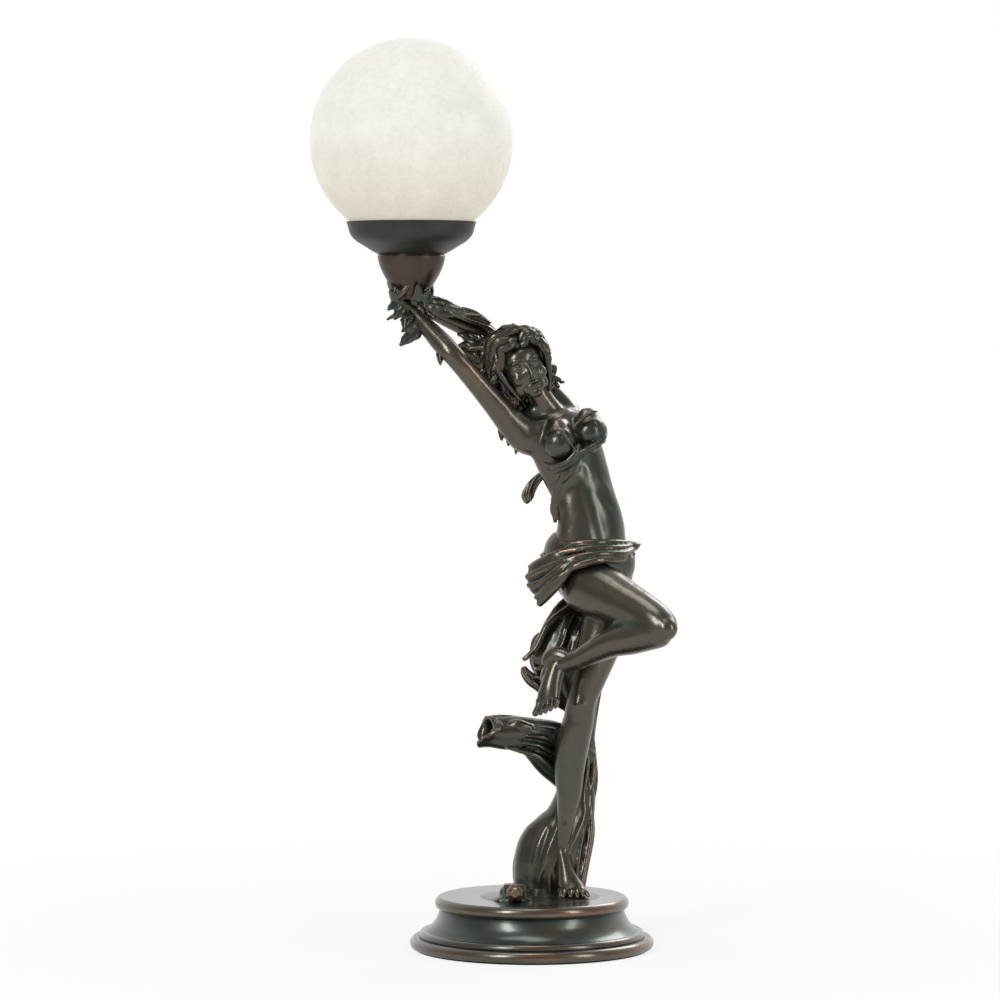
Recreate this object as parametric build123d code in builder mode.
"""Figural table lamp: a dancer on a turned plinth holds up a cup that carries a glass globe.

The frame: +Z is up, the origin is the centre of the plinth on the table, and the figure faces -Y.
The figure is cold-cast, split where its castings part, around one steel wire tube that runs
from the plinth through the drapery, the torso and the right arm into the cup.
All sizes are in millimetres. Places on the figure are measured up from the plinth's flat top.
"""

import math
import os

from build123d import *

# ---------------------------------------------------------------- plinth and what it holds
FELT_T = 1.5  # felt that the lamp stands on
FOOT_R = 90.5  # the plinth where it meets the felt
FELT_R = FOOT_R - 2.5
RIM_R = FOOT_R + 1.3  # the widest roll
RIM_H = 8.0
GROOVE_R = FOOT_R - 5.5
BEAD_R = GROOVE_R - 2.5  # small bead over the roll
BEAD_H = 4.6
COVE_FOOT_R = BEAD_R - 2.0
COVE_H = 16.0
COVE_TOP_R = 69.5
COVE_SAG = 1.6  # how far the cove dips inside its chord
ROLL_R = 73.0  # top roll
ROLL_H = 9.5
COVER_T = 2.0  # steel plate that closes the hollow
COVER_R = FOOT_R - 4.5
CAVITY_R = COVER_R - 12.0  # mouth of the hollow
CAVITY_TOP_R = 58.0
ROOF_T = 9.0
SCREW_PCD = 2 * (COVER_R - 6.0)
SCREW_COUNT = 3
SCREW_R = 1.5
SCREW_HEAD_R = 2.9
SCREW_L = 9.0
BALLAST_R = 55.0
BALLAST_T = 12.0
FIT = 0.3  # gap between pieces that touch loosely
BUSH_Z = 9.5  # cord bush in the plinth's back
BUSH_R = 4.0
BUSH_BORE_R = 2.6
BUSH_FLANGE_R = 5.8
BUSH_FLANGE_T = 3.5
BUSH_SEAT_Y = FOOT_R - 6.5
BUSH_L = 14.0

# ---------------------------------------------------------------- heights that stack up
ROLL_Z = FELT_T + RIM_H + BEAD_H + COVE_H
PLATE_Z = ROLL_Z + ROLL_H  # the plinth's flat top
ROOF_Z = PLATE_Z - ROOF_T
PLATE = Vector(0, 0, PLATE_Z)

# ---------------------------------------------------------------- rotary switch in the ground
KNOB_X = -12.8
KNOB_UP = 7.4  # the knob's axis above the plate
KNOB_R = 7.0
KNOB_L = 11.0
KNOB_FACE_R = 3.2  # flat at the tip of the faceted end
KNOB_SIDES = 8
NICHE_Y = -33.0  # front face of the block that holds the switch
NICHE_W = 19.0
NICHE_H = 13.6
NICHE_WALL = 2.5
SWITCH_SIZE = 9.0
SWITCH_L = 8.0
BUSHING_R = 3.0
BUSHING_L = 5.5
SWITCH_NUT_R = 4.6
SWITCH_NUT_T = 1.6
SHAFT_R = 1.9
SHAFT_L = 14.5
SHAFT_FIT = 0.05

# ---------------------------------------------------------------- wire tube
TUBE_R = 3.0
TUBE_WALL = 0.8
TUBE_NUT_R = 8.0
TUBE_NUT_T = 6.0
TUBE_WASHER_R = 12.0
TUBE_WASHER_T = 1.6
TUBE_TAIL = 2.5  # thread left under the nut
TUBE_BEND_R = 24.0

# ---------------------------------------------------------------- cup, gallery, globe, lampholder
AXIS_X = -90.4  # the cup's axis
AXIS_Y = 0.0
REACH = 449.0  # foot of the cup above the plinth's top
CUP_FOOT_R = 11.5
CUP_TOP_R = 25.5
CUP_H = 34.0
CUP_WALL = 3.0
CUP_FLOOR_T = 12.0
NIPPLE_R = 5.0
NIPPLE_NUT_R = 8.5
NIPPLE_NUT_T = 4.0
GALLERY_R = 48.9
GALLERY_H = 24.0
GALLERY_T = 1.8
SEAT_H = 11.0  # the globe's seat above the cup's rim
SEAT_W = 4.5
GASKET_T = 2.0
WASHER_R = 12.0
WASHER_T = 1.2
GLOBE_R = 76.2
GLASS_T = 3.0
NECK_R = 41.0
COLLAR_H = 7.3
HOLDER_R = 13.5
HOLDER_BASE_H = 9.0
HOLDER_FLOOR_T = 4.0
HOLDER_H = 35.0
HOLDER_WALL = 2.0
INSERT_H = 7.0
THREAD_R = 6.9  # the bulb's screw cap
THREAD_WALL = 0.6
THREAD_FIT = 0.05
THREAD_H = 16.0
CONTACT_R = 2.5
CONTACT_H = 1.5
BULB_R = 22.0
BULB_NECK_R = 8.0
BULB_CAP_H = 20.0
BULB_H = 26.0  # centre of the ball above the cap
BULB_GLASS_T = 0.8

CUP_Z = PLATE_Z + REACH
CUP_TOP_Z = CUP_Z + CUP_H
SEAT_Z = CUP_TOP_Z + SEAT_H
NECK_Z = SEAT_Z + GASKET_T + FIT
GASKET_R = NECK_R + FIT
GLOBE_Z = NECK_Z + COLLAR_H + math.sqrt(GLOBE_R**2 - NECK_R**2)
HOLDER_Z = CUP_TOP_Z + GALLERY_T + WASHER_T
NIPPLE_TOP_Z = HOLDER_Z + HOLDER_FLOOR_T
INSERT_Z = HOLDER_Z + HOLDER_BASE_H
THREAD_Z = INSERT_Z + INSERT_H
BULB_FOOT_Z = THREAD_Z + CONTACT_H + FIT
BULB_Z = BULB_FOOT_Z + BULB_CAP_H + BULB_H
BULB_DROP = BULB_H
BULB_NECK_DROP = math.sqrt(BULB_R**2 - BULB_NECK_R**2)
CUP_AXIS = Axis((AXIS_X, AXIS_Y, 0), (0, 0, 1))
CUP_PLANE = Plane(origin=(AXIS_X, AXIS_Y, CUP_Z), x_dir=(1, 0, 0), z_dir=(0, -1, 0))
GALLERY_PLANE = Plane(origin=(AXIS_X, AXIS_Y, CUP_TOP_Z), x_dir=(1, 0, 0), z_dir=(0, -1, 0))
CUP = Vector(AXIS_X, AXIS_Y, REACH)

# ---------------------------------------------------------------- joints of the figure
L_HIP = Vector(55, 2, 244)
L_KNEE = Vector(36.5, -8, 144.5)
L_ANKLE = Vector(23, 4, 37)
L_BALL = Vector(30, -8, 9)
L_TOE = Vector(41, -18, 5)
R_HIP = Vector(33, -8, 240)
R_KNEE = Vector(97, -73, 205.5)
R_ANKLE = Vector(23, -31, 177)
R_HEEL = Vector(15, -26, 185)
R_TOE = Vector(9.5, -39, 145)
R_SHOULDER = Vector(-12.5, -7, 353)
R_ELBOW = Vector(-57, -24, 405)
R_WRIST = CUP + Vector(1, -4.5, -9)
L_SHOULDER = Vector(25, 20, 364)
L_ELBOW = Vector(-18, 28, 415)
L_WRIST = CUP + Vector(14, 8, -10)
NECK_BASE = Vector(15, 5, 362)
HEAD = Vector(-7.5, -4, 397)
HEAD_UP = Vector(-0.36, 0, 0.93)
BODY_SIDE = (0.9, 0.43, 0)  # from her right to her left


def between(start, end, share, shift=(0, 0, 0)):
    """The point at a share of the way from start to end, moved aside by shift."""
    return start + (end - start) * share + Vector(*shift)


def tangents(points):
    """Unit direction of a path at each of its points."""
    last = len(points) - 1
    return [(points[min(i + 1, last)] - points[max(i - 1, 0)]).normalized() for i in range(last + 1)]


def limb(stations, side=(1, 0, 0)):
    """Loft through ellipses set square to a path; a station is (point, half width, half depth)."""
    points = [PLATE + point for point, _, _ in stations]
    with BuildPart() as form:
        for (_, width, depth), point, along in zip(stations, points, tangents(points)):
            across = Vector(*side)
            across = (across - along * across.dot(along)).normalized()
            with BuildSketch(Plane(origin=point, x_dir=across, z_dir=along)):
                Ellipse(width, depth)
        loft()
    return form.part


def cloth(stations, folds, dip, side=(1, 0, 0)):
    """Loft through folded outlines: each fold is one arc, and the creases lie in by the share dip."""
    points = [PLATE + point for point, _, _ in stations]
    with BuildPart() as form:
        for (_, width, depth), point, along in zip(stations, points, tangents(points)):
            across = Vector(*side)
            across = (across - along * across.dot(along)).normalized()
            with BuildSketch(Plane(origin=point, x_dir=across, z_dir=along)):
                with BuildLine():
                    for fold in range(folds):
                        ends = [2 * math.pi * (fold + step) / folds for step in (0, 0.5, 1)]
                        reach = [1 - dip, 1, 1 - dip]
                        crease, crest, following = [
                            (width * r * math.cos(a), depth * r * math.sin(a)) for a, r in zip(ends, reach)
                        ]
                        ThreePointArc(crease, crest, following)
                make_face()
        loft()
    return form.part


def cut_by(form, *neighbours):
    """The main solid of a form after its neighbours have been cut out of it."""
    with BuildPart() as left:
        add(form)
        for neighbour in neighbours:
            add(neighbour.part, mode=Mode.SUBTRACT)
    return left.part.solids().sort_by(SortBy.VOLUME)[-1]


def label(piece, name):
    """Name a finished piece and write it."""
    piece.part.label = name
    export_step(piece.part, f"parts/{name}.step")


os.makedirs("parts", exist_ok=True)

# ================================================================ wire tube
TUBE_FOOT = Vector(30, 24, -ROOF_T - BALLAST_T - TUBE_WASHER_T - TUBE_NUT_T - TUBE_TAIL)
TUBE_POINTS = [
    TUBE_FOOT,
    Vector(30, 24, 72),
    Vector(43, 26, 155),
    Vector(50, 29, 212),
    Vector(46, 8, 258),
    Vector(41, -2, 290),
    Vector(36, -1, 318),
    Vector(14, 1, 347),
    between(R_SHOULDER, R_ELBOW, 0.25),
    between(R_ELBOW, R_SHOULDER, 0.06),
    between(R_WRIST, R_ELBOW, 0.15),
    CUP + Vector(0, 0, 1),
    CUP + Vector(0, 0, CUP_FLOOR_T + 6),
]
TUBE_BENDS = [60, 60, 30, 30, 30, 30, 30, 40, 24, 10, 6]

with BuildLine() as tube_line:
    FilletPolyline(*[PLATE + point for point in TUBE_POINTS], radius=TUBE_BENDS)
tube_start = Plane(origin=tube_line.line @ 0, z_dir=tube_line.line % 0)

with BuildPart() as wire_room:
    with BuildSketch(tube_start):
        Circle(TUBE_R)
    sweep(path=tube_line.line)

with BuildPart() as wire_tube:
    with BuildSketch(tube_start):
        Circle(TUBE_R)
        Circle(TUBE_R - TUBE_WALL, mode=Mode.SUBTRACT)
    sweep(path=tube_line.line)

# ================================================================ plinth
with BuildPart() as plinth:
    with BuildSketch(Plane.XZ):
        with BuildLine():
            rim_z = FELT_T + RIM_H
            bead_z = rim_z + BEAD_H
            foot = Line((0, FELT_T), (FOOT_R, FELT_T))
            rim = ThreePointArc(foot @ 1, (RIM_R, FELT_T + RIM_H / 3), (GROOVE_R + 3, rim_z))
            step = Line(rim @ 1, (GROOVE_R, rim_z))
            bead = ThreePointArc(step @ 1, (BEAD_R + 2.4, rim_z + BEAD_H / 2), (COVE_FOOT_R, bead_z))
            middle = ((COVE_FOOT_R + COVE_TOP_R) / 2 - COVE_SAG, bead_z + COVE_H / 2 - COVE_SAG)
            cove = ThreePointArc(bead @ 1, middle, (COVE_TOP_R, ROLL_Z))
            roll = ThreePointArc(cove @ 1, (ROLL_R, ROLL_Z + ROLL_H / 2), (COVE_TOP_R, PLATE_Z))
            Polyline(roll @ 1, (0, PLATE_Z), (0, FELT_T))
        make_face()
    revolve(axis=Axis.Z)
    with BuildSketch(Plane.XZ):
        cover_z = FELT_T + COVER_T
        Polygon((0, FELT_T), (COVER_R + FIT, FELT_T), (COVER_R + FIT, cover_z), (CAVITY_R, cover_z),
                (CAVITY_TOP_R, ROOF_Z), (0, ROOF_Z), align=None)
    revolve(axis=Axis.Z, mode=Mode.SUBTRACT)
    with BuildSketch(Plane.XY.offset(cover_z)):
        with PolarLocations(SCREW_PCD / 2, SCREW_COUNT):
            Circle(SCREW_R)
    extrude(amount=SCREW_L - COVER_T, mode=Mode.SUBTRACT)
    with BuildSketch(Plane(origin=(0, RIM_R + 1, BUSH_Z), x_dir=(1, 0, 0), z_dir=(0, -1, 0))):
        Circle(BUSH_FLANGE_R)
    extrude(amount=RIM_R + 1 - BUSH_SEAT_Y, mode=Mode.SUBTRACT)
    with BuildSketch(Plane(origin=(0, RIM_R + 1, BUSH_Z), x_dir=(1, 0, 0), z_dir=(0, -1, 0))):
        Circle(BUSH_R)
    extrude(amount=RIM_R + 1 - BUSH_SEAT_Y + BUSH_L, mode=Mode.SUBTRACT)
    # wire slot from the switch down into the hollow
    with BuildSketch(Plane.XY.offset(ROOF_Z)):
        with Locations((KNOB_X, NICHE_Y + NICHE_WALL + SWITCH_L / 2)):
            Rectangle(SWITCH_SIZE / 2, SWITCH_L / 2)
    extrude(amount=ROOF_T, mode=Mode.SUBTRACT)
    add(wire_room.part, mode=Mode.SUBTRACT)
label(plinth, "plinth")

with BuildPart() as base_cover:
    with BuildSketch(Plane.XY.offset(FELT_T)):
        Circle(COVER_R)
    extrude(amount=COVER_T)
    with Locations(Plane.XY.offset(FELT_T)):
        with PolarLocations(SCREW_PCD / 2, SCREW_COUNT):
            Cone(SCREW_HEAD_R, SCREW_R, COVER_T, align=(Align.CENTER, Align.CENTER, Align.MIN), mode=Mode.SUBTRACT)
label(base_cover, "base_cover")

for number in range(SCREW_COUNT):
    angle = 2 * math.pi * number / SCREW_COUNT
    head = Plane(origin=(SCREW_PCD / 2 * math.cos(angle), SCREW_PCD / 2 * math.sin(angle), FELT_T))
    with BuildPart() as cover_screw:
        with BuildSketch(head):
            Circle(SCREW_HEAD_R)
        with BuildSketch(head.offset(COVER_T)):
            Circle(SCREW_R)
        loft()
        with BuildSketch(head.offset(COVER_T)):
            Circle(SCREW_R)
        extrude(amount=SCREW_L - COVER_T)
    label(cover_screw, f"cover_screw_{number + 1}")

with BuildPart() as felt_pad:
    with BuildSketch(Plane.XY):
        Circle(FELT_R)
    extrude(amount=FELT_T)
label(felt_pad, "felt_pad")

with BuildPart() as ballast_disc:
    with BuildSketch(Plane.XY.offset(ROOF_Z)):
        Circle(BALLAST_R)
        with Locations((TUBE_FOOT.X, TUBE_FOOT.Y)):
            Circle(TUBE_R, mode=Mode.SUBTRACT)
        with Locations((KNOB_X, NICHE_Y + NICHE_WALL + SWITCH_L / 2)):
            Rectangle(SWITCH_SIZE, SWITCH_L, mode=Mode.SUBTRACT)
    extrude(amount=-BALLAST_T)
label(ballast_disc, "ballast_disc")

with BuildPart() as tube_washer:
    with BuildSketch(Plane.XY.offset(ROOF_Z - BALLAST_T)):
        with Locations((TUBE_FOOT.X, TUBE_FOOT.Y)):
            Circle(TUBE_WASHER_R)
            Circle(TUBE_R, mode=Mode.SUBTRACT)
    extrude(amount=-TUBE_WASHER_T)
label(tube_washer, "tube_washer")

with BuildPart() as tube_nut:
    with BuildSketch(Plane.XY.offset(ROOF_Z - BALLAST_T - TUBE_WASHER_T)):
        with Locations((TUBE_FOOT.X, TUBE_FOOT.Y)):
            RegularPolygon(TUBE_NUT_R, 6)
            Circle(TUBE_R, mode=Mode.SUBTRACT)
    extrude(amount=-TUBE_NUT_T)
label(tube_nut, "tube_nut")

with BuildPart() as cord_bush:
    with BuildSketch(Plane(origin=(0, BUSH_SEAT_Y + BUSH_FLANGE_T, BUSH_Z), x_dir=(1, 0, 0), z_dir=(0, -1, 0))):
        Circle(BUSH_FLANGE_R)
    extrude(amount=BUSH_FLANGE_T)
    with BuildSketch(Plane(origin=(0, BUSH_SEAT_Y, BUSH_Z), x_dir=(1, 0, 0), z_dir=(0, -1, 0))):
        Circle(BUSH_R)
    extrude(amount=BUSH_L)
    with BuildSketch(Plane(origin=(0, BUSH_SEAT_Y + BUSH_FLANGE_T, BUSH_Z), x_dir=(1, 0, 0), z_dir=(0, -1, 0))):
        Circle(BUSH_BORE_R)
    extrude(amount=BUSH_FLANGE_T + BUSH_L, mode=Mode.SUBTRACT)
label(cord_bush, "cord_bush")

# ================================================================ ground with the switch's niche
GROUND = [  # centre x, centre y, height, half width, half depth
    (6, -2, 0, 46, 44),
    (7, 0, 1.6, 42, 40),
    (10, 4, 3.2, 33, 31),
    (12, 8, 4.2, 20, 19),
]
KNOB_Z = PLATE_Z + KNOB_UP
SWITCH_Y = NICHE_Y + NICHE_WALL  # front of the switch's body, behind the niche's wall

with BuildPart() as ground_mound:
    for x, y, up, width, depth in GROUND:
        with BuildSketch(Plane(origin=(x, y, PLATE_Z + up))):
            Ellipse(width, depth)
    loft()
    # the block that holds the switch, with its room and its wall's hole
    with BuildSketch(Plane.XY.offset(PLATE_Z)):
        with Locations((KNOB_X, NICHE_Y)):
            RectangleRounded(NICHE_W, SWITCH_L + 2 * NICHE_WALL + FIT, 1.5, align=(Align.CENTER, Align.MIN))
    extrude(amount=NICHE_H)
    # the ground is scooped out in front of the block, for the fingers
    with BuildSketch(Plane(origin=(KNOB_X, NICHE_Y, PLATE_Z), x_dir=(1, 0, 0), z_dir=(0, -1, 0))):
        Rectangle(NICHE_W + 4, NICHE_H, align=(Align.CENTER, Align.MIN))
    extrude(amount=FOOT_R, mode=Mode.SUBTRACT)
    with Locations((KNOB_X, SWITCH_Y, KNOB_Z)):
        Box(SWITCH_SIZE + FIT, SWITCH_L + FIT, SWITCH_SIZE + FIT,
            align=(Align.CENTER, Align.MIN, Align.CENTER), mode=Mode.SUBTRACT)
    with BuildSketch(Plane(origin=(KNOB_X, SWITCH_Y, KNOB_Z), x_dir=(1, 0, 0), z_dir=(0, -1, 0))):
        Circle(BUSHING_R)
    extrude(amount=NICHE_WALL, mode=Mode.SUBTRACT)
    add(wire_room.part, mode=Mode.SUBTRACT)
label(ground_mound, "ground_mound")

with BuildPart() as rotary_switch:
    with Locations((KNOB_X, SWITCH_Y, KNOB_Z)):
        Box(SWITCH_SIZE, SWITCH_L, SWITCH_SIZE, align=(Align.CENTER, Align.MIN, Align.CENTER))
    with BuildSketch(Plane(origin=(KNOB_X, SWITCH_Y, KNOB_Z), x_dir=(1, 0, 0), z_dir=(0, -1, 0))):
        Circle(BUSHING_R)
    extrude(amount=BUSHING_L)
    with BuildSketch(Plane(origin=(KNOB_X, SWITCH_Y - BUSHING_L, KNOB_Z), x_dir=(1, 0, 0), z_dir=(0, 1, 0))):
        Circle(SHAFT_R + SHAFT_FIT)
    extrude(amount=BUSHING_L + 2, mode=Mode.SUBTRACT)
label(rotary_switch, "rotary_switch")

with BuildPart() as switch_nut:
    with BuildSketch(Plane(origin=(KNOB_X, NICHE_Y, KNOB_Z), x_dir=(1, 0, 0), z_dir=(0, -1, 0))):
        RegularPolygon(SWITCH_NUT_R, 6)
        Circle(BUSHING_R, mode=Mode.SUBTRACT)
    extrude(amount=SWITCH_NUT_T)
label(switch_nut, "switch_nut")

SHAFT_Y = SWITCH_Y + 2 - FIT  # inner end of the shaft
KNOB_Y = SWITCH_Y - BUSHING_L - FIT  # back face of the knob

with BuildPart() as switch_shaft:
    with BuildSketch(Plane(origin=(KNOB_X, SHAFT_Y, KNOB_Z), x_dir=(1, 0, 0), z_dir=(0, -1, 0))):
        Circle(SHAFT_R)
    extrude(amount=SHAFT_L)
label(switch_shaft, "switch_shaft")

with BuildPart() as switch_knob:
    knob_back = Plane(origin=(KNOB_X, KNOB_Y, KNOB_Z), x_dir=(1, 0, 0), z_dir=(0, -1, 0))
    with BuildSketch(knob_back):
        RegularPolygon(KNOB_R - 1, KNOB_SIDES)
    with BuildSketch(knob_back.offset(KNOB_L * 0.45)):
        RegularPolygon(KNOB_R, KNOB_SIDES)
    with BuildSketch(knob_back.offset(KNOB_L)):
        RegularPolygon(KNOB_FACE_R, KNOB_SIDES)
    loft(ruled=True)
    add(switch_shaft.part, mode=Mode.SUBTRACT)
label(switch_knob, "switch_knob")

# ================================================================ cup and light fitting
with BuildPart() as torch_cup:
    with BuildSketch(CUP_PLANE):
        with BuildLine():
            under = Line((0, 0), (CUP_FOOT_R, 0))
            bell = Spline(under @ 1, (CUP_FOOT_R + 3.4, CUP_H * 0.24), (CUP_FOOT_R + 8.6, CUP_H * 0.5),
                          (CUP_TOP_R - 1, CUP_H * 0.8), (CUP_TOP_R, CUP_H - 2))
            shoulder = Line(bell @ 1, (CUP_TOP_R - 0.8, CUP_H))
            brim = Line(shoulder @ 1, (CUP_TOP_R - CUP_WALL, CUP_H))
            inside = Spline(brim @ 1, (CUP_FOOT_R + 8.6 - CUP_WALL, CUP_H * 0.58),
                            (CUP_FOOT_R + 1, CUP_FLOOR_T))
            Polyline(inside @ 1, (0, CUP_FLOOR_T), under @ 0)
        make_face()
    revolve(axis=CUP_AXIS)
    with BuildSketch(Plane.XY.offset(CUP_Z + CUP_FLOOR_T)):
        with Locations((AXIS_X, AXIS_Y)):
            Circle(NIPPLE_R)
    extrude(amount=-CUP_FLOOR_T / 2, mode=Mode.SUBTRACT)
    add(wire_room.part, mode=Mode.SUBTRACT)
label(torch_cup, "torch_cup")

with BuildPart() as cup_nipple:
    with BuildSketch(Plane.XY.offset(CUP_Z + CUP_FLOOR_T / 2)):
        with Locations((AXIS_X, AXIS_Y)):
            Circle(NIPPLE_R)
            Circle(TUBE_R, mode=Mode.SUBTRACT)
    extrude(amount=NIPPLE_TOP_Z - CUP_Z - CUP_FLOOR_T / 2)
label(cup_nipple, "cup_nipple")

with BuildPart() as nipple_nut:
    with BuildSketch(Plane.XY.offset(CUP_Z + CUP_FLOOR_T)):
        with Locations((AXIS_X, AXIS_Y)):
            RegularPolygon(NIPPLE_NUT_R, 6)
            Circle(NIPPLE_R, mode=Mode.SUBTRACT)
    extrude(amount=NIPPLE_NUT_T)
label(nipple_nut, "nipple_nut")

with BuildPart() as gallery:
    with BuildSketch(GALLERY_PLANE):
        with BuildLine():
            base = Line((NIPPLE_R, 0), (CUP_TOP_R, 0))
            bowl = Spline(base @ 1, (NECK_R - 10.1, SEAT_H - 8), (NECK_R - 5.3, SEAT_H - 5),
                          (NECK_R - 0.4, SEAT_H - 2), (NECK_R + 3, SEAT_H + 1), (NECK_R + 5, SEAT_H + 4),
                          (GALLERY_R - 1.9, GALLERY_H - 6), (GALLERY_R, GALLERY_H))
            rim = Line(bowl @ 1, (GALLERY_R - GALLERY_T, GALLERY_H))
            wall = Spline(rim @ 1, (GALLERY_R - 1.9 - GALLERY_T, GALLERY_H - 6),
                          (NECK_R + 5 - GALLERY_T, SEAT_H + 4.6), (GASKET_R, SEAT_H))
            Polyline(wall @ 1, (NECK_R - SEAT_W, SEAT_H), (NECK_R - SEAT_W - 3, SEAT_H - 3.4),
                     (CUP_TOP_R, GALLERY_T), (NIPPLE_R, GALLERY_T), base @ 0)
        make_face()
    revolve(axis=CUP_AXIS)
label(gallery, "gallery")

with BuildPart() as gallery_washer:
    with BuildSketch(Plane.XY.offset(CUP_TOP_Z + GALLERY_T)):
        with Locations((AXIS_X, AXIS_Y)):
            Circle(WASHER_R)
            Circle(NIPPLE_R, mode=Mode.SUBTRACT)
    extrude(amount=WASHER_T)
label(gallery_washer, "gallery_washer")

with BuildPart() as globe_gasket:
    with BuildSketch(Plane.XY.offset(SEAT_Z)):
        with Locations((AXIS_X, AXIS_Y)):
            Circle(GASKET_R)
            Circle(NECK_R - GLASS_T - 1, mode=Mode.SUBTRACT)
    extrude(amount=GASKET_T)
label(globe_gasket, "globe_gasket")

with BuildPart() as lampholder_base:
    with BuildSketch(Plane.XY.offset(HOLDER_Z)):
        with Locations((AXIS_X, AXIS_Y)):
            Circle(HOLDER_R)
            Circle(NIPPLE_R, mode=Mode.SUBTRACT)
    extrude(amount=HOLDER_FLOOR_T)
    with BuildSketch(Plane.XY.offset(HOLDER_Z + HOLDER_FLOOR_T)):
        with Locations((AXIS_X, AXIS_Y)):
            Circle(HOLDER_R)
            Circle(HOLDER_R - HOLDER_WALL, mode=Mode.SUBTRACT)
    extrude(amount=HOLDER_BASE_H - HOLDER_FLOOR_T)
label(lampholder_base, "lampholder_base")

with BuildPart() as lampholder_shell:
    with BuildSketch(Plane.XY.offset(INSERT_Z)):
        with Locations((AXIS_X, AXIS_Y)):
            Circle(HOLDER_R)
            Circle(HOLDER_R - HOLDER_WALL, mode=Mode.SUBTRACT)
    extrude(amount=HOLDER_H - HOLDER_BASE_H)
label(lampholder_shell, "lampholder_shell")

with BuildPart() as lampholder_insert:
    with BuildSketch(Plane.XY.offset(INSERT_Z)):
        with Locations((AXIS_X, AXIS_Y)):
            Circle(HOLDER_R - HOLDER_WALL)
    extrude(amount=INSERT_H)
label(lampholder_insert, "lampholder_insert")

with BuildPart() as screw_shell:
    with BuildSketch(Plane.XY.offset(THREAD_Z)):
        with Locations((AXIS_X, AXIS_Y)):
            Circle(THREAD_R + THREAD_FIT + THREAD_WALL)
            Circle(THREAD_R + THREAD_FIT, mode=Mode.SUBTRACT)
    extrude(amount=THREAD_H)
label(screw_shell, "screw_shell")

with BuildPart() as centre_contact:
    with BuildSketch(Plane.XY.offset(THREAD_Z)):
        with Locations((AXIS_X, AXIS_Y)):
            Circle(CONTACT_R)
    extrude(amount=CONTACT_H)
label(centre_contact, "centre_contact")

with BuildPart() as bulb_cap:
    with BuildSketch(Plane(origin=(AXIS_X, AXIS_Y, BULB_FOOT_Z), x_dir=(1, 0, 0), z_dir=(0, -1, 0))):
        Polygon((0, 0), (CONTACT_R, 0), (CONTACT_R, 1), (THREAD_R, 4), (THREAD_R, BULB_CAP_H),
                (0, BULB_CAP_H), align=None)
    revolve(axis=CUP_AXIS)
label(bulb_cap, "bulb_cap")

with BuildPart() as bulb_glass:
    with BuildSketch(Plane(origin=(AXIS_X, AXIS_Y, BULB_Z), x_dir=(1, 0, 0), z_dir=(0, -1, 0))):
        with BuildLine():
            collar = Line((BULB_NECK_R - BULB_GLASS_T, -BULB_DROP), (BULB_NECK_R, -BULB_DROP))
            waist = Line(collar @ 1, (BULB_NECK_R, -BULB_NECK_DROP))
            ball = ThreePointArc(waist @ 1, (BULB_R, 0), (0, BULB_R))
            crown = Line(ball @ 1, (0, BULB_R - BULB_GLASS_T))
            inner = ThreePointArc(crown @ 1, (BULB_R - BULB_GLASS_T, 0),
                                  (BULB_NECK_R - BULB_GLASS_T, -BULB_NECK_DROP + BULB_GLASS_T / 2))
            Line(inner @ 1, collar @ 0)
        make_face()
    revolve(axis=CUP_AXIS)
label(bulb_glass, "bulb_glass")

with BuildPart() as globe:
    with BuildSketch(Plane(origin=(AXIS_X, AXIS_Y, GLOBE_Z), x_dir=(1, 0, 0), z_dir=(0, -1, 0))):
        with BuildLine():
            edge = Line((NECK_R - GLASS_T, NECK_Z - GLOBE_Z), (NECK_R, NECK_Z - GLOBE_Z))
            throat = Line(edge @ 1, (NECK_R, NECK_Z + COLLAR_H - GLOBE_Z))
            outside = ThreePointArc(throat @ 1, (GLOBE_R, 0), (0, GLOBE_R))
            pole = Line(outside @ 1, (0, GLOBE_R - GLASS_T))
            lip_z = -math.sqrt((GLOBE_R - GLASS_T)**2 - (NECK_R - GLASS_T)**2)
            within = ThreePointArc(pole @ 1, (GLOBE_R - GLASS_T, 0), (NECK_R - GLASS_T, lip_z))
            Line(within @ 1, edge @ 0)
        make_face()
    revolve(axis=CUP_AXIS)
label(globe, "globe")

# ================================================================ the figure
TORSO = [
    (Vector(46, 2, 222), 14, 12),
    (Vector(46, 1, 228), 26, 20),
    (Vector(46, 0, 241), 32, 23),
    (Vector(45, 0, 253), 31.5, 23),
    (Vector(44, -1, 264), 28.5, 21),
    (Vector(44, -2, 276), 27.5, 19.5),
    (Vector(43, -3, 287), 25.5, 18),
    (Vector(40, -2, 298), 24.5, 17.5),
    (Vector(36.5, 0, 309), 25, 18),
    (Vector(31.7, 1, 322), 26.5, 19.5),
    (Vector(27, 2, 334), 27.5, 20.5),
    (Vector(22, 3, 346), 27, 20),
    (Vector(17.5, 5, 356), 24, 17),
    (Vector(15, 6, 363), 15, 12),
    (Vector(14, 6, 366), 6, 5),
]
with BuildPart() as torso:
    add(cut_by(limb(TORSO, BODY_SIDE), wire_room))
label(torso, "torso")

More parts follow.
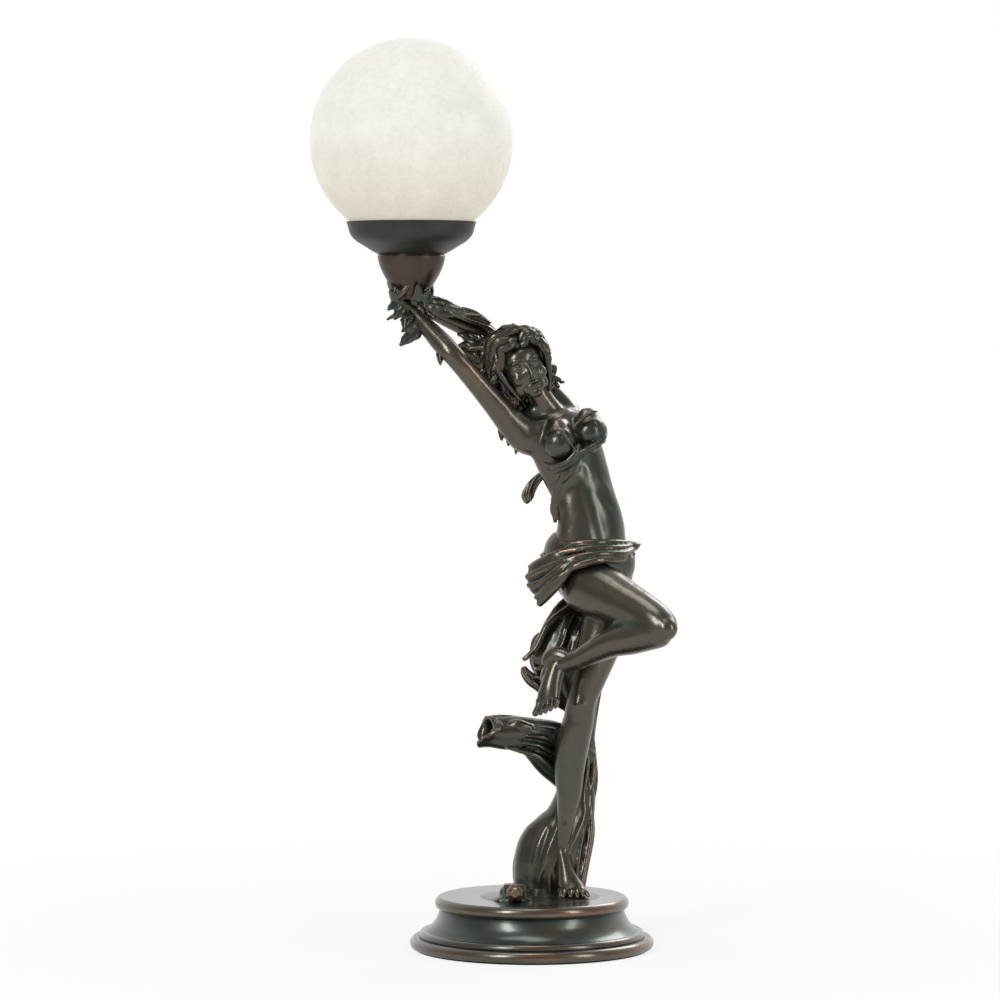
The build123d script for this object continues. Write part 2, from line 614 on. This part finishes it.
CALF = Vector(-2.2, 1.5, 0)
THIGH_BOW = Vector(5.5, 2, 0)
STANDING_LEG = [
    (between(L_ANKLE, L_KNEE, -0.03), 3.5, 4),
    (L_ANKLE, 5.7, 6.4),
    (between(L_ANKLE, L_KNEE, 0.2), 7.2, 8),
    (between(L_ANKLE, L_KNEE, 0.36), 9.4, 10),
    (between(L_ANKLE, L_KNEE, 0.56, CALF), 11.8, 12.4),
    (between(L_ANKLE, L_KNEE, 0.74, CALF), 12.8, 13.2),
    (between(L_ANKLE, L_KNEE, 0.9), 11.8, 12.6),
    (between(L_KNEE, L_HIP, 0.04), 11.5, 12.2),
    (between(L_KNEE, L_HIP, 0.22, (2, 0, 0)), 14, 14),
    (between(L_KNEE, L_HIP, 0.48, THIGH_BOW), 17, 16.6),
    (between(L_KNEE, L_HIP, 0.72, THIGH_BOW), 17.6, 17.8),
    (between(L_KNEE, L_HIP, 0.9, (-2, 0, 0)), 17, 18),
    (between(L_KNEE, L_HIP, 1.02, (-3, 0, 0)), 12, 13),
    (between(L_KNEE, L_HIP, 1.08, (-4, 0, 0)), 5, 6),
]
with BuildPart() as standing_leg:
    add(cut_by(limb(STANDING_LEG), torso, wire_room))
label(standing_leg, "standing_leg")

STANDING_FOOT = [
    (L_ANKLE + Vector(-1.2, 3, 1.5), 4, 5),
    (L_ANKLE + Vector(-1, 1.5, -3), 5.8, 8),
    (L_ANKLE + Vector(0, -0.5, -11), 6.2, 9),
    (between(L_ANKLE, L_BALL, 0.72), 7.2, 8.6),
    (L_BALL, 8.6, 6.6),
    (between(L_BALL, L_TOE, 0.5), 8.6, 4.4),
    (L_TOE, 5.6, 2.6),
]
with BuildPart() as standing_foot:
    add(cut_by(limb(STANDING_FOOT), standing_leg, ground_mound))
label(standing_foot, "standing_foot")

RAISED_THIGH = [
    (between(R_HIP, R_KNEE, -0.06), 9, 10),
    (between(R_HIP, R_KNEE, 0.03), 18, 18),
    (between(R_HIP, R_KNEE, 0.14), 21.5, 21),
    (between(R_HIP, R_KNEE, 0.32, (0, 0, 1)), 20.5, 20),
    (between(R_HIP, R_KNEE, 0.54, (0, 0, 2)), 17.6, 17.5),
    (between(R_HIP, R_KNEE, 0.76, (0, 0, 3)), 15.2, 15),
    (between(R_HIP, R_KNEE, 0.92, (0, 0, 2)), 13.6, 13.8),
    (between(R_HIP, R_KNEE, 1.02, (0, 0, 1)), 10.5, 10.8),
    (between(R_HIP, R_KNEE, 1.07), 4.5, 4.5),
]
with BuildPart() as raised_thigh:
    add(cut_by(limb(RAISED_THIGH, (0, 0, 1)), torso, standing_leg, wire_room))
label(raised_thigh, "raised_thigh")

RAISED_SHIN = [
    (between(R_KNEE, R_ANKLE, -0.03), 7, 7),
    (between(R_KNEE, R_ANKLE, 0.03), 11.5, 11.5),
    (between(R_KNEE, R_ANKLE, 0.16, (0, 0, 1)), 12.3, 12.3),
    (between(R_KNEE, R_ANKLE, 0.34, (0, 0, 2.4)), 12.2, 12.4),
    (between(R_KNEE, R_ANKLE, 0.52, (0, 0, 4)), 11.2, 11.4),
    (between(R_KNEE, R_ANKLE, 0.7, (0, 0, 2)), 9.6, 9.8),
    (between(R_KNEE, R_ANKLE, 0.86), 7.6, 7.8),
    (R_ANKLE, 6.8, 7),
    (between(R_KNEE, R_ANKLE, 1.05), 4, 4),
]
with BuildPart() as raised_shin:
    add(cut_by(limb(RAISED_SHIN, (0, 0, 1)), raised_thigh))
label(raised_shin, "raised_shin")

RAISED_FOOT = [
    (R_HEEL + Vector(3.5, -2, 3), 3.5, 4),
    (R_HEEL + Vector(2.5, -2.5, -1), 7, 8),
    (between(R_HEEL, R_TOE, 0.25, (1.5, 0, 0)), 8.4, 8.4),
    (between(R_HEEL, R_TOE, 0.5, (1.5, 0, 0)), 8.4, 7.6),
    (between(R_HEEL, R_TOE, 0.72, (1, 0, 0)), 9, 6),
    (between(R_HEEL, R_TOE, 0.9), 8.4, 4.4),
    (R_TOE, 5.6, 2.8),
]
with BuildPart() as raised_foot:
    add(cut_by(limb(RAISED_FOOT), raised_shin))
label(raised_foot, "raised_foot")

NECK = [
    (NECK_BASE + Vector(1, 0, -6), 11, 11),
    (NECK_BASE, 10.4, 10.4),
    (between(NECK_BASE, HEAD, 0.3), 9.8, 10),
    (between(NECK_BASE, HEAD, 0.6), 9.6, 10),
]
SKULL = [  # share of the head's height from chin to crown, half width, half depth, how far back
    (0.0, 4, 4, -13),
    (0.06, 9, 8, -10),
    (0.2, 13, 14, -5),
    (0.38, 16.4, 19, -1),
    (0.56, 17.6, 20.6, 1),
    (0.74, 17, 19.6, 2),
    (0.9, 12, 14, 2),
    (0.98, 5, 6, 2),
]
HEAD_H = 50.0
head_up = HEAD_UP.normalized()
head_back = Vector(-0.2, 1, -0.08)
with BuildPart() as head_form:
    add(limb(NECK, BODY_SIDE))
    add(limb([(HEAD + head_up * (share - 0.5) * HEAD_H + head_back * back, width, depth)
              for share, width, depth, back in SKULL], BODY_SIDE))
with BuildPart() as head:
    add(cut_by(head_form.part, torso))
label(head, "head")

RIGHT_ARM = [
    (R_SHOULDER + Vector(20, 5, -12), 9, 9),
    (R_SHOULDER + Vector(9, 2, -9), 12, 12),
    (R_SHOULDER, 11.6, 11.6),
    (between(R_SHOULDER, R_ELBOW, 0.3), 9.6, 9.8),
    (between(R_SHOULDER, R_ELBOW, 0.6), 8.3, 8.6),
    (between(R_SHOULDER, R_ELBOW, 0.86), 8, 8),
    (between(R_ELBOW, R_WRIST, 0.08), 8, 8),
    (between(R_ELBOW, R_WRIST, 0.3), 8, 8.2),
    (between(R_ELBOW, R_WRIST, 0.62), 6.8, 7),
    (between(R_ELBOW, R_WRIST, 0.88), 5.6, 5.6),
    (R_WRIST, 5.2, 5.2),
]
with BuildPart() as right_arm:
    add(cut_by(limb(RIGHT_ARM, (0, 1, 0)), torso, head, wire_room, torch_cup))
label(right_arm, "right_arm")

LEFT_ARM = [
    (L_SHOULDER + Vector(3, -3, -14), 8, 8),
    (L_SHOULDER + Vector(2, -1, -7), 10.6, 11),
    (L_SHOULDER, 10.2, 10.6),
    (between(L_SHOULDER, L_ELBOW, 0.34), 9.2, 9.4),
    (between(L_SHOULDER, L_ELBOW, 0.64), 8.2, 8.4),
    (between(L_SHOULDER, L_ELBOW, 0.9), 7.8, 7.8),
    (between(L_ELBOW, L_WRIST, 0.08), 7.8, 7.8),
    (between(L_ELBOW, L_WRIST, 0.34), 7.8, 8),
    (between(L_ELBOW, L_WRIST, 0.66), 6.6, 6.8),
    (between(L_ELBOW, L_WRIST, 0.9), 5.4, 5.4),
    (L_WRIST, 5, 5),
]
with BuildPart() as left_arm:
    add(cut_by(limb(LEFT_ARM, (0, 1, 0)), torso, head, right_arm, torch_cup))
label(left_arm, "left_arm")

RIGHT_HAND = [
    (R_WRIST + Vector(0.4, 0, -1), 4.8, 4.8),
    (R_WRIST + Vector(-3, -1.5, 2), 5.6, 4.4),
    (R_WRIST + Vector(-8, -4, 8), 8.4, 4.4),
    (R_WRIST + Vector(-12, -6, 15), 7.6, 3.6),
    (R_WRIST + Vector(-13, -6.5, 21), 4.4, 2.2),
]
with BuildPart() as right_hand:
    add(cut_by(limb(RIGHT_HAND, (0, 1, 0)), right_arm, torch_cup, wire_room))
label(right_hand, "right_hand")

LEFT_HAND = [
    (L_WRIST + Vector(1, 0, -0.6), 4.6, 4.6),
    (L_WRIST + Vector(-3, 1.5, 2), 5.4, 4.4),
    (L_WRIST + Vector(-6, 4, 8), 8, 4.4),
    (L_WRIST + Vector(-7, 5.5, 15), 7, 3.6),
    (L_WRIST + Vector(-6, 6, 20), 4, 2.2),
]
with BuildPart() as left_hand:
    add(cut_by(limb(LEFT_HAND, (0, 1, 0)), left_arm, right_arm, right_hand, torch_cup, wire_room))
label(left_hand, "left_hand")

HAIR = [
    (HEAD + Vector(-46, 18, 16), 4, 4),
    (HEAD + Vector(-38, 17, 14), 12, 11),
    (HEAD + Vector(-24, 16, 10), 20, 18),
    (HEAD + Vector(-8, 15, 7), 25, 22),
    (HEAD + Vector(7, 15, 1), 21, 20),
    (HEAD + Vector(19, 15, -5), 13, 13),
    (HEAD + Vector(26, 15, -9), 5, 5),
]
with BuildPart() as hair:
    add(cut_by(cloth(HAIR, 9, 0.08, (0, 1, 0)), head, torso, right_arm, left_arm, wire_room))
label(hair, "hair")

# ================================================================ drapery
BREASTS = [Vector(21, -17, 342), Vector(43.5, -8, 350)]
BREAST_R = 12.8
BREAST_FORM = [(-0.9, 0.5), (-0.5, 0.86), (0, 1), (0.5, 0.86), (0.85, 0.5), (0.97, 0.16)]  # reach, radius
FRONT = Vector(0.43, -0.9, 0)  # the way her chest faces
BAND = [
    (Vector(29, -14, 330), 8, 6),
    (Vector(30, -14, 338), 15, 8),
    (Vector(31, -13, 345), 17, 9),
    (Vector(31, -11, 352), 12, 7),
    (Vector(31, -9, 356), 5, 4),
]
with BuildPart() as bust_form:
    add(limb(BAND, BODY_SIDE))
    for centre in BREASTS:
        add(limb([(centre + FRONT * BREAST_R * out, BREAST_R * round_r, BREAST_R * round_r)
                  for out, round_r in BREAST_FORM], (0, 0, 1)))
with BuildPart() as bust_drape:
    add(cut_by(bust_form.part, torso, right_arm, head, wire_room))
label(bust_drape, "bust_drape")

HIP_BAND = [
    (Vector(43, -1, 241), 33, 25),
    (Vector(43.5, -1, 247), 36, 28),
    (Vector(43, -1, 256), 37, 28.5),
    (Vector(44, -1, 264), 35, 26),
    (Vector(45, -1, 270), 28, 22),
]
HIP_FAN = [
    (Vector(34, -20, 258), 8, 6),
    (Vector(22, -20, 254), 14, 9),
    (Vector(11, -15, 246), 17.5, 10),
    (Vector(4, -10, 241), 14, 8),
    (Vector(-1.5, -7, 238), 6, 4),
]
HIP_TIP = [
    (Vector(62, 0, 262), 8, 12),
    (Vector(72, 2, 263), 5, 9),
    (Vector(80, 3, 264), 2, 3),
]
with BuildPart() as hip_form:
    add(cloth(HIP_BAND, 14, 0.05))
    add(cloth(HIP_FAN, 7, 0.14, (0, 0, 1)))
    add(limb(HIP_TIP, (0, 0, 1)))
with BuildPart() as hip_drape:
    add(cut_by(hip_form.part, torso, standing_leg, raised_thigh, wire_room))
label(hip_drape, "hip_drape")

TAIL = [
    (Vector(20, -18, 336), 5, 4),
    (Vector(13, -16, 328), 8, 6),
    (Vector(12, -14, 316), 8, 6),
    (Vector(14.5, -13, 302), 6.5, 5),
    (Vector(16, -13, 290), 4, 3),
    (Vector(17, -13, 284), 1.6, 1.4),
]
with BuildPart() as drape_tail:
    add(cut_by(cloth(TAIL, 5, 0.1), torso, bust_drape, right_arm, wire_room))
label(drape_tail, "drape_tail")

PENDANT = [
    (Vector(22, 10, 325), 3, 3),
    (Vector(12, 10, 320), 3, 3),
    (Vector(5.5, 10, 315), 3.2, 3.4),
    (Vector(0.5, 10, 309), 4.4, 4.6),
    (Vector(-3, 10, 302), 5, 5),
    (Vector(-3.4, 10, 297), 2.4, 2.4),
]
with BuildPart() as hanging_lock:
    add(cut_by(limb(PENDANT), torso, drape_tail, wire_room))
label(hanging_lock, "hanging_lock")

TRAIN = [
    (Vector(52, 30, 232), 7, 5),
    (Vector(51, 31, 224), 12, 8),
    (Vector(49, 31, 205), 13, 8.5),
    (Vector(46, 29, 185), 12.5, 8.5),
    (Vector(42, 27, 160), 12, 8.5),
    (Vector(38, 25.5, 135), 12, 8.5),
    (Vector(35.5, 25, 115), 12.5, 8.5),
    (Vector(34, 25, 95), 13.5, 9),
    (Vector(34, 25, 74), 14.5, 9),
    (Vector(34, 25, 66), 12, 7),
]
with BuildPart() as rear_drape:
    add(cut_by(limb(TRAIN), torso, wire_room))
label(rear_drape, "rear_drape")

SKIRT = [
    (Vector(35, 22, 88), 9, 7),
    (Vector(34, 22, 80), 14, 12.5),
    (Vector(32, 22, 68), 16.5, 15),
    (Vector(28, 21, 55), 20, 18),
    (Vector(23, 20, 46), 24.5, 21),
    (Vector(17.5, 20, 36), 29, 23),
    (Vector(14, 20, 26), 30.5, 24),
    (Vector(12, 20, 14), 29, 24),
    (Vector(12, 20, 3), 26.5, 23),
]
with BuildPart() as lower_drape:
    add(cut_by(cloth(SKIRT, 11, 0.1), rear_drape, standing_leg, standing_foot, ground_mound, wire_room))
label(lower_drape, "lower_drape")

UPPER_SWIRL = [
    (Vector(52, 32, 222), 9, 6),
    (Vector(40, 24, 215), 11, 9),
    (Vector(29, 15, 207), 12, 10),
    (Vector(18, 8, 197), 12, 9),
    (Vector(8.5, 3, 187.5), 11, 7.5),
    (Vector(0, 0, 179), 9, 6),
    (Vector(-6, -2, 173), 5, 3.5),
]
with BuildPart() as upper_flourish:
    add(cut_by(limb(UPPER_SWIRL, (0, 1, 0)), rear_drape, standing_leg, raised_foot, raised_shin, wire_room))
label(upper_flourish, "upper_flourish")

UPPER_LIP = [
    (Vector(-5, -1, 173), 5, 3),
    (Vector(-1.5, 1, 167.5), 8, 5),
    (Vector(7, 6, 160), 9, 5.5),
    (Vector(17, 13, 151), 10, 6),
    (Vector(29, 20, 142), 10, 6.5),
    (Vector(40, 26, 137), 8, 5),
]
with BuildPart() as flourish_lip:
    add(cut_by(limb(UPPER_LIP, (0, 1, 0)), upper_flourish, rear_drape, standing_leg, raised_foot))
label(flourish_lip, "flourish_lip")

MID_SWIRL = [
    (Vector(40, 26, 98), 8, 9),
    (Vector(27, 22, 108), 11, 15),
    (Vector(13, 15, 116), 13, 14.5),
    (Vector(-3, 11, 121), 12.5, 12),
    (Vector(-18, 7, 122.5), 12, 10.5),
    (Vector(-31, 4, 122.5), 11, 10),
    (Vector(-38.5, 2, 122.5), 9, 8.5),
]
with BuildPart() as mid_flourish:
    add(cut_by(limb(MID_SWIRL, (0, 1, 0)), rear_drape, standing_leg, wire_room))
label(mid_flourish, "mid_flourish")

# ================================================================ leaves and ribbon at the hands
RIBBON = [
    (Vector(-26, 6, 424), 2.5, 6),
    (Vector(-36, 8, 430), 4, 8),
    (Vector(-48, 6, 434), 4, 8),
    (Vector(-60, 2, 438), 4, 7),
    (Vector(-71, -1, 444), 3.5, 6),
    (Vector(-81, -1, 449), 2, 4),
]
with BuildPart() as arm_ribbon:
    add(cut_by(cloth(RIBBON, 5, 0.12, (0, 0, 1)), right_arm, left_arm, right_hand, left_hand, hair, torch_cup,
               wire_room))
label(arm_ribbon, "arm_ribbon")

LEAF_L = 20.0
LEAF_W = 5.5
LEAF_T = 2.4
LEAVES = [(200, 62), (205, -20), (255, 40), (25, 62), (235, -72)]  # compass angle, rise, in degrees
WREATH_R = 9.0
WREATH_T = 4.5
with BuildPart() as wreath_form:
    with BuildSketch(Plane(origin=(AXIS_X, AXIS_Y, CUP_Z - WREATH_T / 2), x_dir=(1, 0, 0), z_dir=(0, -1, 0))):
        with Locations((WREATH_R, 0)):
            Circle(WREATH_T)
    revolve(axis=CUP_AXIS)
    for compass, rise in LEAVES:
        turn = math.radians(compass)
        lift = math.radians(rise)
        outward = Vector(math.cos(turn) * math.cos(lift), math.sin(turn) * math.cos(lift), math.sin(lift))
        root = CUP + Vector(math.cos(turn) * WREATH_R, math.sin(turn) * WREATH_R, -WREATH_T / 2)
        flat = Vector(-math.sin(turn), math.cos(turn), 0)
        add(limb([(root + outward * LEAF_L * share, LEAF_W * width, LEAF_T * thick)
                  for share, width, thick in [(0, 0.5, 1), (0.3, 1, 1), (0.65, 0.9, 0.8), (1, 0.15, 0.3)]], flat))
with BuildPart() as torch_leaves:
    add(cut_by(wreath_form.part, torch_cup, right_hand, left_hand, right_arm, left_arm, arm_ribbon, wire_room))
label(torch_leaves, "torch_leaves")
label(wire_tube, "wire_tube")
